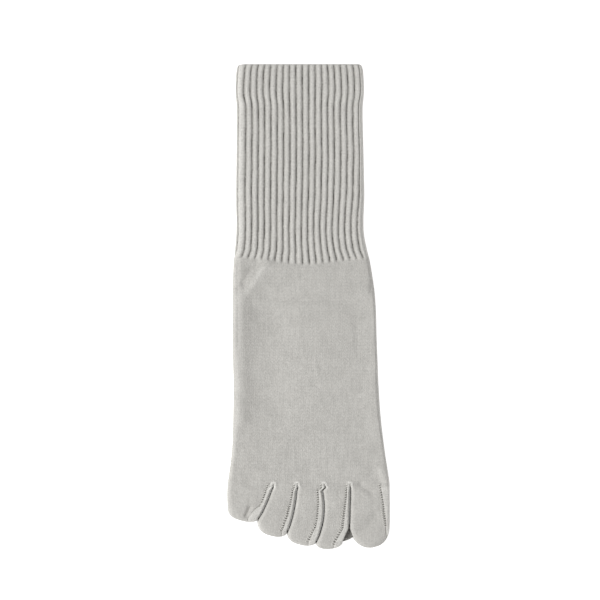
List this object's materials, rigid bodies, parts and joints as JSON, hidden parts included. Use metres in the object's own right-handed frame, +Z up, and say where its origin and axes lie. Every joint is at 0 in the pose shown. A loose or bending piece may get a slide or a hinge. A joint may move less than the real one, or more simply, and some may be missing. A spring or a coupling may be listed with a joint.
{
  "type": "toe sock",
  "caption": "Crew-length knitted sock with separate toes, lying flat: a ribbed cuff and leg, a plain foot and hollow toe pockets with raised side seams.",
  "frame": {"origin": "on the floor under the middle of the sock's bounding box", "axes": "+Z up from the floor, +Y along the sock from the toes to the cuff, +X across it from the little toe to the big toe"},
  "size_m": [0.104, 0.3096, 0.0124],
  "materials": {
    "rib_knit": "soft ribbed knit, light warm grey, matt",
    "plain_knit": "fine plain knit, light warm grey, matt"
  },
  "bodies": {
    "root": {"welt": "rib_knit", "rib_leg": "rib_knit", "ankle": "plain_knit", "heel": "plain_knit", "foot": "plain_knit", "little_toe": "plain_knit", "fourth_toe": "plain_knit", "middle_toe": "plain_knit", "second_toe": "plain_knit", "big_toe": "plain_knit"}
  },
  "joints": []
}
